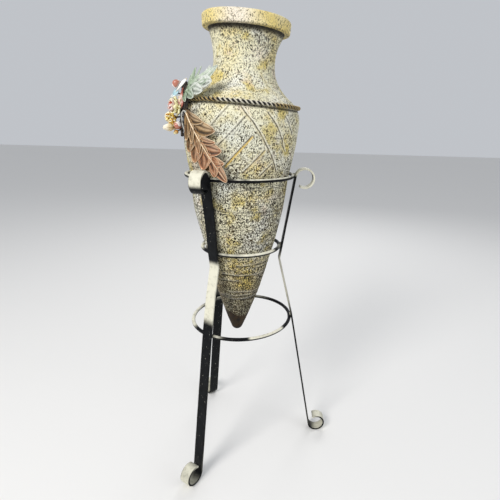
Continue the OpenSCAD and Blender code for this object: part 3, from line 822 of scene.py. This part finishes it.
# Side twigs: azimuth and height on the main twig, then radius, azimuth and height of the end, and thickness
TWIG_SIDES = [
    (-161, 508, 131, -163, 508, 4.0), (-159, 542, 129, -162, 546, 2.4), (-160, 480, 130, -160, 475, 2.4),
    (-160.5, 490, 142, -167, 486, 3.0), (-160, 482, 143, -160, 470, 2.4), (-159.5, 470, 135, -160, 462, 2.4),
    (-160, 530, 134, -166, 533, 2.4), (-159.4, 541, 120, -152.6, 530, 2.4), (-159.4, 520, 131, -159, 517, 2.4),
]
# Dark stems bound in between the twig and the vase, which also stand in for the shade there: azimuth and height of each
# end, and radius
SHADE_FILLING_STEMS = [
    (-155, 486, -150, 531, 2.2), (-152, 493, -152.5, 526, 2.4), (-149, 501, -146, 528, 2.2),
    (-157, 478, -154, 538, 2.4), (-155.5, 449, -156.5, 500, 2.6), (-152.5, 452, -154, 503, 2.4),
    (-151, 458, -150.5, 498, 2.0), (-157, 526, -154, 552, 2.8), (-154.5, 520, -152.5, 546, 2.4),
]
LEAF_STEM = [(124.5, -153.0, 463), (127, -154.2, 475), (128.2, -155.2, 487), (128.6, -154.4, 495),
             (127.2, -151.4, 501), (125.4, -148, 498)]


def build_twig(paint):
    shape = Shape()
    main = spline([polar(*p) for p in TWIG_MAIN], 80)
    knots = 1 + 0.10 * np.sin(np.arange(80) * 0.9) + 0.07 * np.sin(np.arange(80) * 2.3)
    shape.tube(main, 2.5 * knots * np.linspace(1.05, 0.8, 80), 14)
    for k, (az0, s0, r1, az1, s1, thick) in enumerate(TWIG_SIDES):
        a, b = polar(123.5, az0, s0), polar(r1, az1, s1)
        path = spline([a, (a + b) / 2 + UP * 1.2 * math.sin(k * 2.1), b], 20)
        knots = 1 + 0.06 * np.sin(np.arange(20) * 1.7 + k)
        shape.tube(path, thick / 2 * np.linspace(1.15, 0.85, 20) * knots, 10)
    # dark stems that also stand in for the shade behind the spray
    for k, (az0, low, az1, high, size) in enumerate(SHADE_FILLING_STEMS):
        path = spline([polar(121.5, az0, low), polar(122.5, (az0 + az1) / 2 - 0.6, (low + high) / 2),
                       polar(121.0 - 0.3 * k, az1, high)], 24)
        shape.tube(path, size * (1 + 0.1 * np.sin(np.arange(24) * 1.3 + k)), 10)
    shape.build("twig_bark", paint, "vase", "dark_twig", "twig")


def build_leaf_stem(paint):
    path = spline([polar(*p) for p in LEAF_STEM], 70)
    shape = Shape().tube(path, 1.3, 12)
    # the wire's end, wound once and a half round the leaf's base
    t = np.linspace(0, 3 * np.pi, 50)[:, None]
    outward, sideways = bearings(LEAF_STEM[-1][1])
    loop = path[-1] + 2.6 * (np.cos(t) * outward + np.sin(t) * UP)
    shape.tube(loop + (t / np.pi - 1.5) * 1.1 * sideways - outward * 0.5, 0.7, 8)
    shape.build("leaf_stem_wire", paint, "vase", "wire", "leaf_copper_stem")


def leaf_on_vase(along, across, base_az, base_s, direction, cone, lift):
    """Lays a leaf's plane on a cone about the vase's axis; cone gives radius at two heights."""
    dx, dz = direction
    s = base_s + along * dz + across * dx
    (s0, r0), (s1, r1) = cone
    radius = r0 + (s - s0) * (r1 - r0) / (s1 - s0)
    return polar(radius + lift, base_az + np.degrees((along * dx - across * dz) / radius), s)


def add_lobe(shape, lay, root, tip, width, fold, rise=0.0, depth=0.0, bend=0.0, thickness=1.0, length=0.0, back=0.0,
             shade=0.0, line=1.0):
    """One channel-shaped lobe of a leaf, from its root on the midrib to its blunt tip."""
    root, tip = np.array(root, float), np.array(tip, float)
    t = np.linspace(-back, 1.0, 34)[:, None]
    u = np.clip(t, 0, 1)
    v = np.linspace(-1, 1, 17)[None, :]
    way = tip - root
    size = np.linalg.norm(way)
    side = np.array([-way[1], way[0]]) / size
    half = width / 2 * (0.60 + 0.40 * np.sin(np.pi * u ** 0.9)) * np.sqrt(np.clip(1.015 - u ** 4.5, 0.012, 1))
    half = half * (1 + 0.05 * np.sin(9 * u + 2 * np.sign(v) + root[0]))
    sway = bend * size * np.sin(np.pi * u)
    spot = root + way * t[..., None] + side * (half * v + sway)[..., None]
    vein = bell(v, 0.13) * (1 - smooth(0.75, 1.0, u))
    lift = rise * u ** 1.6 + fold * np.abs(v) ** 2.5 * (0.4 + 0.6 * u) - depth
    lift = lift + 0.55 * vein - 0.5 * bell(np.abs(v) - 0.35, 0.2) + 0.18 * np.sin(14 * u + 3 * v + root[0])
    rim = np.maximum(0.7 * smooth(0.86, 0.99, np.abs(v)) * smooth(0.1, 0.5, u), 0.7 * smooth(0.95, 0.995, u))
    # painted highlight along one side of each lobe, as on a lit ridge
    rim = np.maximum(rim, 0.45 * bell(v - 0.62, 0.2) * smooth(0.15, 0.5, u) * (1 - smooth(0.8, 1, u)))
    # the lobe's middle vein gets a painted highlight too
    rim = np.clip((rim + 0.5 * vein * u) * line, 0, 0.85) * (1 - shade)
    # painted shade in the folds either side of each lobe's middle, and at its root
    hollow = np.maximum(0.95 * bell(v + 0.48, 0.26), 0.75 * bell(v - 0.30, 0.18))
    valley = hollow * smooth(0.0, 0.3, u) * (1 - smooth(0.82, 1, u))
    valley = np.maximum(valley, 0.85 * (1 - smooth(0.0, 0.30, u)) * smooth(0.25, 0.8, np.abs(v)))
    shape.sheet(lay(spot[..., 0], spot[..., 1], lift), thickness, rim=rim, valley=np.maximum(valley * line, shade),
                length=length + 0.25 * u)


def add_midrib(shape, lay, length, radius, lift, frost):
    along = np.linspace(0.0, length * 0.985, 60)
    path = lay(along, 0.35 * np.sin(along / length * 3.0), lift)
    # painted highlight along the midrib
    shape.tube(path, radius * (1.0 - 0.62 * along / length), 10, rim=0.75, length=np.linspace(*frost, 60))


# Lobes of each leaf: how far along the midrib the lobe starts, where its tip is along and across the
# leaf, how wide it is and how deep it lies. Across is positive towards the upper right on the copper
# leaf and towards the upper left on the green one.
COPPER_LOBES = [
    (20, (60, -41.0), 38, 1.7), (42, (85, -38.0), 38, 1.4), (70, (108, -26.0), 34, 1.1), (104, (131, -13.0), 20, 0.6),
    (102, (122.0, 18.4), 18, 0.5), (70, (102, 29.0), 27, 1.0), (52, (84, 29.0), 14, 0.2), (16, (68, 41.0), 30, 1.4),
    (0, (42, 31.0), 20, 0.4), (2, (40, -33.0), 26, 0.8), (10, (56, -18.0), 20, 0.2), (36, (80, -14.0), 18, 0.2),
]
GREEN_LOBES = [
    (0, (9, -23.0), 17, -4.0), (8, (31, -23.0), 21, -3.2), (22, (52, -22.0), 22, -2.4), (42, (73, -18.0), 20, -1.4),
    (54, (77, 9.0), 13, -0.6), (30, (52, 10.0), 14, -0.4), (2, (44, 31.0), 16, 0.4), (2, (28, 25.0), 14, 0.6),
    (8, (59, 22.5), 5, -0.6),
]
# How far a lobe reaches back past its root, as a share of its length
LOBE_BACK = 0.10


def build_copper_leaf(paint):
    def lay(along, across, lift):
        return leaf_on_vase(along, across, -148.0, 498.0, (0.613, -0.79), ((370, 118.6), (505, 125.2)), lift)

    shape = Shape()
    # painted shade: a dark web under the lobes, near black under the middle and copper-brown under the lower left side
    add_lobe(shape, lay, (0, 0), (138, 0), 32, 0.3, depth=2.3, shade=0.9)
    add_lobe(shape, lay, (14, -14), (118, -16), 48, 0.3, depth=2.5, shade=0.35)
    for start, tip, width, depth in COPPER_LOBES:
        add_lobe(shape, lay, (start, 0), tip, width, 2.2, rise=2.6, depth=depth, bend=-0.07 * np.sign(tip[1]),
                 length=start / 110, back=LOBE_BACK, line=1.0 if tip[1] > 0 else 0.7)
    add_lobe(shape, lay, (0, 0), (108, 0), 13, 0.8, depth=0.4)
    add_lobe(shape, lay, (92, 0), (151, 0), 24, 2.0, rise=0.5, length=0.8, back=LOBE_BACK)
    add_midrib(shape, lay, 150.0, 1.5, 1.2, (0.0, 1.0))
    shape.build("leaf_copper_blade", paint, "vase", "copper_leaf", "leaf_copper")


def build_green_leaf(paint):
    def lay(along, across, lift):
        sag = 7.5 * np.sin(np.pi * np.clip(along / 90, 0, 1))
        return leaf_on_vase(along, across - sag, -156.0, 534.0, (0.846, 0.533), ((505, 126.0), (596, 104.0)), lift)

    shape = Shape()
    for start, tip, width, depth in GREEN_LOBES:
        add_lobe(shape, lay, (start, 0), tip, width, 1.2, rise=1.6, depth=depth, bend=-0.06 * np.sign(tip[1]),
                 thickness=0.9, length=0.0 if tip[1] > 10 else tip[0] / 100, back=LOBE_BACK, line=0.7)
    add_lobe(shape, lay, (2, -1), (89, -1), 23, 1.2, depth=-2.0, thickness=0.9, length=0.35, back=LOBE_BACK, line=0.5)
    add_midrib(shape, lay, 86.0, 1.1, 2.9, (0.1, 1.0))
    shape.build("leaf_green_blade", paint, "vase", "verdigris_leaf", "leaf_green")


def petal(length, width, cup, ruffle, seed, point=0.5, rows=16, columns=13):
    """One petal: along +Z from its base, facing +X, sides along Y. Returns its points, and u along it and v across."""
    u = np.linspace(0.0, 1.0, rows)[:, None]
    v = np.linspace(-1.0, 1.0, columns)[None, :]
    body = np.sin(np.pi * np.clip(u, 0.02, 0.985) ** (0.62 + 0.5 * (1 - point))) ** (0.55 + 0.3 * point)
    y = v * width / 2 * np.maximum(body, 0.12)
    z = u * length * (1 - 0.10 * v ** 2)
    x = cup * length * (u ** 2 * 0.8 - 0.25 * u) + cup * width * 0.45 * v ** 2
    x = x + ruffle * (u ** 1.5) * np.sin(v * 6.0 + seed) + 0.6 * ruffle * u * np.sin(u * 9 + seed * 2 + v * 3)
    return np.stack([x, y, z], axis=-1), u, v


def globe(half_long, half_wide, a, b):
    """A ball's surface about the X axis, at a from its middle towards its ends and b round it, in radians."""
    rows = half_long * np.sin(a), half_wide * np.cos(a) * np.cos(b), half_wide * np.cos(a) * np.sin(b)
    return np.stack(np.broadcast_arrays(*rows), axis=-1)


def frame_at(radius, azimuth, height, tip=0.0):
    """Matrix of a place in the spray, in millimetres: +X points away from the vase, and down by tip degrees."""
    return rotation("Z", azimuth) @ Matrix.Translation((radius, 0, height)) @ rotation("Y", tip)


def ahead(place, forward):
    return place @ Matrix.Translation((forward, 0, 0))


def add_ring(shape, place, count, size, tilt, out, start, seeds, thickness, look):
    """Petals round a flower's axis: they begin out from it, lean to its front by tilt, the first at angle start."""
    for i in range(count):
        spin = 360 * i / count + start
        points, u, _ = petal(*size, seed=seeds[0] * i + seeds[1])
        m = place @ rotation("X", spin) @ Matrix.Translation((0, 0, out)) @ rotation("Y", tilt)
        shape.sheet(turned(points, m), thickness, **look(u, spin))


# Rings of petals from the back to the front: how many, length, width, tilt, forward, out
BLOSSOM_RINGS = [(8, 17.5, 15.0, 12.0, 1.0, 2.5), (8, 17.5, 14.0, 26.0, 5.5, 2.0), (7, 15.5, 13.0, 42.0, 10.0, 2.0),
                 (5, 12.0, 11.0, 60.0, 13.0, 1.5)]


def build_pale_blossom(paint, eye_paint):
    place = frame_at(124, -162.5, 507, -8)
    shape = Shape()
    cone = np.linspace(0, 1, 10)[:, None]
    ring = circle(24)
    cup = (cone * 10, (3 + 6 * cone) * np.cos(ring), (3 + 6 * cone) * np.sin(ring))
    cup = np.stack(np.broadcast_arrays(*cup), axis=-1)
    shape.grid(turned(cup, place), wrap_columns=True, cap=True, heart=0.2)
    for k, (count, length, width, tilt, forward, out) in enumerate(BLOSSOM_RINGS):
        def look(u, spin):
            """Rust shows on the inner rings, most on the lower petals; red only on the innermost, on the upper."""
            lower = math.cos(math.radians(spin)) < -0.1
            return {"heart": (1.0 if lower else 0.7) * (k > 1) * (1 - 0.3 * u),
                    "second": (0.2 if lower else 0.8) * (k > 2) * (1 - 0.3 * u),
                    # painted shade at the base of each petal
                    "hollow": 0.5 * (1 - smooth(0, 0.4, u))}

        add_ring(shape, ahead(place, forward), count, (length, width, 0.25, 1.5), tilt, out, 31 * k, (1.7, 5 * k), 0.9,
                 look)
    shape.build("blossom_pale_petals", paint, "vase", "pale_petal", "blossom_pale")
    eye = Shape()
    centre = frame_at(138.5, -164, 507, -11)
    for k, (count, length, width, out) in enumerate(((5, 12.0, 12.0, 1.0), (4, 9.0, 8.0, 0.4))):
        add_ring(eye, centre, count, (length, width, 0.35, 0.6), 42 + 18 * k, out, 40 * k, (1, 3 * k), 0.8,
                 lambda u, spin: {"heart": 1 - 0.9 * smooth(0.7, 1, u)})
    eye.build("blossom_eye_petals", eye_paint, "vase", "red_petal", "blossom_eye")


def build_cluster(paint):
    """Ruffled yellow flower: many small crumpled petals round a sunken middle, with painted shade deep among them."""
    place, near = frame_at(137, -166.5, 487), frame_at(133, -163.5, 476)
    rings = ((place, 8, 13.0, 10.0, 1.5, 0.5), (place, 7, 12.0, 26.0, 1.0, 4.0), (place, 6, 10.5, 44.0, 1.0, 7.0),
             (place, 4, 8.0, 60.0, 0.6, 9.5), (near, 7, 12.5, 14.0, 1.0, 1.0), (near, 6, 11.0, 36.0, 1.0, 4.5),
             (near, 4, 8.5, 58.0, 0.6, 7.5))
    shape = Shape()
    for k, (centre, count, length, tilt, out, forward) in enumerate(rings):
        add_ring(shape, ahead(centre, forward), count, (length, 0.62 * length + 1, 0.35, 1.7), tilt, out, 24 * k,
                 (2.1, k), 0.9,
                 lambda u, spin: {"heart": 0.45 + 0.4 * (1 - u), "second": 0.75 * smooth(0.8, 1.0, u),
                                  # painted shade deep in the flower, at the petals' bases
                                  "hollow": 0.7 * (1 - smooth(0.0, 0.5, u))})
    ball = globe(5.0, 4.6, np.radians(np.linspace(-90, 90, 14))[:, None], circle(20))
    ball = ball * (1 + 0.12 * lumps(ball, 2.5, 14)[..., None])
    # the middle ball is half in painted shade
    shape.grid(turned(ball[1:-1], place), wrap_columns=True, cap=True, heart=1.0, hollow=0.5)
    shape.build("cluster_yellow_petals", paint, "vase", "yellow_petal", "cluster_yellow")


def build_berry(node, place, size, paint, seed):
    """Glossy berry, a little pear-shaped, with a five-pointed cup where it leaves the twig."""
    a = np.radians(np.linspace(-88, 88, 30))[:, None]
    b = circle(36)
    r = size / 2 * (1 + 0.035 * np.sin(2 * b + seed) + 0.03 * np.sin(a * 2))
    # painted highlight: the near-white bands between the coral of the swirl
    swirl = smooth(-0.05, 0.55, np.sin(b + 0.9 * np.sin(2 * a + seed) + seed))
    shape = Shape().grid(turned(globe(r, r, a, b), place), wrap_columns=True, cap=True, heart=swirl)
    for i in range(5):
        points = petal(size * 0.42, size * 0.3, 0.5, 0.2, seed=i, point=1.0, rows=8, columns=5)[0]
        points = points + [-size * 0.52, 0, 0.5]
        # painted shade over the cup under the berry
        shape.sheet(turned(points, place @ rotation("X", 72 * i + 20)), 0.5, heart=0.2, hollow=0.8)
    shape.build(node + "_ball", paint, "vase", "berry_paint", node)


def build_bud(node, place, length, width, paint, slot, seed, opening):
    """Bud wrapped in overlapping petals, which stand off it by opening at their tips."""
    u = np.linspace(0.02, 0.98, 24)[:, None]
    b = circle(28)
    r = width / 2 * 0.86 * np.sin(np.pi * u ** 0.72) ** 0.8 * (1 + 0.05 * np.sin(3 * b + 5 * u + seed))
    core = polar(r, np.degrees(b), u * length)
    shape = Shape().grid(turned(core, place), wrap_columns=True, cap=True, flip=True, heart=1 - u)
    t = np.linspace(0.05, 0.94, 14)[:, None]
    w = np.linspace(-1, 1, 9)[None, :]
    # painted shade at the wraps' bases and along their overlapping edges
    hollow = 0.35 * (1 - smooth(0, 0.3, t)) + 0.35 * smooth(0.75, 1.0, np.abs(w)) * t
    for i in range(4):
        wrap = (0.75 + 0.35 * t) * w + 2 * np.pi * i / 4 + 0.9 * t + seed
        r = width / 2 * (0.92 + 0.1 * np.abs(w) * t) * np.sin(np.pi * t ** 0.72) ** 0.8
        r = r + opening * t ** 2 * (0.6 + 0.4 * math.sin(2.4 * i))
        r = r * (1 + (0.05 + 0.04 * opening) * np.sin(6 * w + i))
        leaf = polar(r, np.degrees(wrap), t * length * (1 - 0.06 * w ** 2))
        shape.sheet(turned(leaf, place), 0.5, heart=1 - t, hollow=hollow)
    shape.build(node + "_wrap", paint, "vase", slot, node)


def add_blade(shape, start, end, width, face, thickness, cup, ruffle, seed, heart, point=0.8):
    """A single petal from start to end, places in the vase's frame, with its face turned towards face."""
    start, end, face = Vector(polar(*start)), Vector(polar(*end)), Vector(face)
    up = (end - start).normalized()
    out = (face - up * face.dot(up)).normalized()
    m = Matrix((out, up.cross(out), up)).transposed().to_4x4()
    points, u, v = petal((end - start).length, width, cup, ruffle, seed=seed, point=point)
    shape.sheet(turned(points, Matrix.Translation(start) @ m), thickness, heart=heart(u, v))


def build_single_petals(white, blue, red):
    # glossy white petal curled under the upper berry
    shape = Shape()
    add_blade(shape, (118.5, -153.5, 558.5), (138.5, -159.0, 535.0), 6.5, (-0.5, -1.0, 0.3), 1.2, cup=-0.25,
              ruffle=0.5, seed=1.0, heart=lambda u, v: 0.7 * (1 - smooth(0, 0.25, u)))
    shape.build("petal_white_blade", white, "vase", "white_petal", "petal_white")
    shape = Shape()
    add_blade(shape, (130.0, -163.5, 539), (139.5, -165.0, 522.0), 11.0, (-0.7, -1.0, 0.1), 1.2, cup=0.2,
              ruffle=0.6, seed=2.0, heart=lambda u, v: 1 - smooth(0.55, 0.95, u) * 0.9)
    add_blade(shape, (132.0, -166.0, 536), (140.5, -167.5, 523), 8.5, (-1.0, -0.4, 0.3), 1.2, cup=0.25,
              ruffle=0.5, seed=3.0, heart=lambda u, v: 1 - smooth(0.45, 0.9, u) * 0.9)
    shape.build("petal_blue_blade", blue, "vase", "blue_petal", "petal_blue")
    shape = Shape()
    for k, (start, end, width) in enumerate((((131.0, -158.5, 511), (123.5, -154.8, 542), 8.0),
                                             ((129.5, -157.0, 505), (123.5, -154.0, 527), 6.5))):
        add_blade(shape, start, end, width, (-0.3, -1.0, 0.1 * k), 1.0, cup=0.12, ruffle=0.4, seed=4.0 + k,
                  heart=lambda u, v: 0.38 + 0.5 * bell(u - 0.95, 0.3) + 0.3 * smooth(0.2, 0.9, v), point=1.0)
    shape.build("petals_red_blades", red, "vase", "red_petal", "petals_red")


# ---- making it all ----

black_iron = painted_iron("black_iron", "dedbc8", "06080a", 0.10)
rubbed_iron = painted_iron("rubbed_iron", "e2dfcd", "06070a", 0.30)
for number, (leg, direction) in enumerate(LEG_AZIMUTHS.items()):
    build_leg(leg, direction, black_iron, number * 2.1)
for number, hoop in enumerate(HOOPS):
    build_hoop(hoop, rubbed_iron, number * 1.3)
    build_welds(hoop.replace("hoop", "welds"), hoop, black_iron, number * 1.7)
build_vase(stoneware())
build_rope(rope_paint())
wire = bare_wire()
build_rope_tie(wire)
build_leaf_stem(wire)
build_twig(bark())
build_copper_leaf(leaf_paint("copper_leaf", "ad8856", "7c5a34", "f4e0c0", "160f07", "ad724d", 0.25))
build_green_leaf(leaf_paint("verdigris_leaf", "7f9a72", "9cb290", "e6e9e2", "32422e", "dadcd6", 0.05))
pale = enamel("pale_petal", "f6efbe", "ead2cc", 0.4, second="bf5a41", hollow="9a7426")
red = enamel("red_petal", "ecd5cb", "b06351", 0.35)
build_pale_blossom(pale, red)
build_cluster(enamel("yellow_petal", "ecd873", "d3971c", 0.4, second="f6efcf", hollow="7a4a10"))
# the berries' near-white edge colour is their painted highlight
berry = enamel("berry_paint", "f1e8e2", "b87460", 0.2, swirl=0.8)
build_berry("berry_upper", frame_at(132.5, -163, 548), 16.0, berry, 0.4)
build_berry("berry_lower", frame_at(133, -160, 473), 15.5, berry, 2.2)
build_bud("bud_cream", frame_at(140.5, -160, 470, 98), 21.5, 13.5,
          enamel("cream_bud", "efe6cf", "d9c08a", 0.35), "pale_petal", 0.5, 1.6)
build_bud("bud_yellow", frame_at(133, -160, 463.5, 130), 11.0, 7.5,
          enamel("yellow_bud", "ece3ae", "c98f2a", 0.45), "yellow_petal", 1.9, 0.8)
build_single_petals(enamel("white_petal", "f5f3ee", "cbbfae", 0.15), enamel("blue_petal", "eaf0f0", "a3c4ce", 0.3), red)

# ---- floor, light and camera ----

FLOOR, FLOOR_Z = 12.0, -0.0005
floor_mesh = bpy.data.meshes.new("floor")
floor_mesh.from_pydata([(-FLOOR, -FLOOR, 0), (FLOOR, -FLOOR, 0), (FLOOR, FLOOR, 0), (-FLOOR, FLOOR, 0)], [],
                       [(0, 1, 2, 3)])
floor = bpy.data.objects.new("floor", floor_mesh)
bpy.context.scene.collection.objects.link(floor)
floor.location = (0, 0, FLOOR_Z)
ground = Finish("floor_paint", roughness=0.85, specular=0.2)
ground.colour((0.80, 0.79, 0.77, 1.0))
floor_mesh.materials.append(ground.material)

world = bpy.data.worlds.new("studio")
bpy.context.scene.world = world
world.use_nodes = True
world.node_tree.nodes["Background"].inputs["Color"].default_value = (0.80, 0.83, 0.88, 1.0)
world.node_tree.nodes["Background"].inputs["Strength"].default_value = 0.66
TARGET = Vector((AXIS.x, AXIS.y, 0.55))


def area_light(name, place, size, power, colour):
    data = bpy.data.lights.new(name, "AREA")
    data.shape = "DISK"
    data.size = size
    data.energy = power
    data.color = colour
    lamp = bpy.data.objects.new(name, data)
    bpy.context.scene.collection.objects.link(lamp)
    lamp.location = place
    lamp.rotation_euler = (TARGET - Vector(place)).to_track_quat("-Z", "Y").to_euler()


area_light("key", (-1.5, -1.7, 2.3), 1.2, 56, (1.0, 0.98, 0.95))
area_light("fill", (1.8, -1.4, 1.2), 1.6, 10, (0.95, 0.97, 1.0))
area_light("back", (0.6, 2.0, 2.0), 1.4, 18, (1.0, 1.0, 1.0))

# The camera in radians, metres from the foot of the hoops' axis, and millimetres of lens
YAW, PITCH, ROLL = 0.157, -0.308, 0.037
CAMERA_FROM_AXIS = Vector((0.0, -0.8703, 0.7933))
LENS_MM, SENSOR_MM, SHIFT_X = 27.797, 36.0, -0.0993
forward = Vector((math.sin(YAW) * math.cos(PITCH), math.cos(YAW) * math.cos(PITCH), math.sin(PITCH)))
level = Vector((math.cos(YAW), -math.sin(YAW), 0))
upright = level.cross(forward)
right_side = math.cos(ROLL) * level + math.sin(ROLL) * upright
top_side = -math.sin(ROLL) * level + math.cos(ROLL) * upright
lens = bpy.data.cameras.new("camera")
lens.sensor_width = SENSOR_MM
lens.lens = LENS_MM
lens.shift_x = SHIFT_X
lens.clip_start = 0.02
camera = bpy.data.objects.new("camera", lens)
bpy.context.scene.collection.objects.link(camera)
camera.matrix_world = (Matrix.Translation(AXIS + CAMERA_FROM_AXIS)
                       @ Matrix((right_side, top_side, -forward)).transposed().to_4x4())
bpy.context.scene.camera = camera
bpy.context.scene.view_settings.view_transform = "Standard"
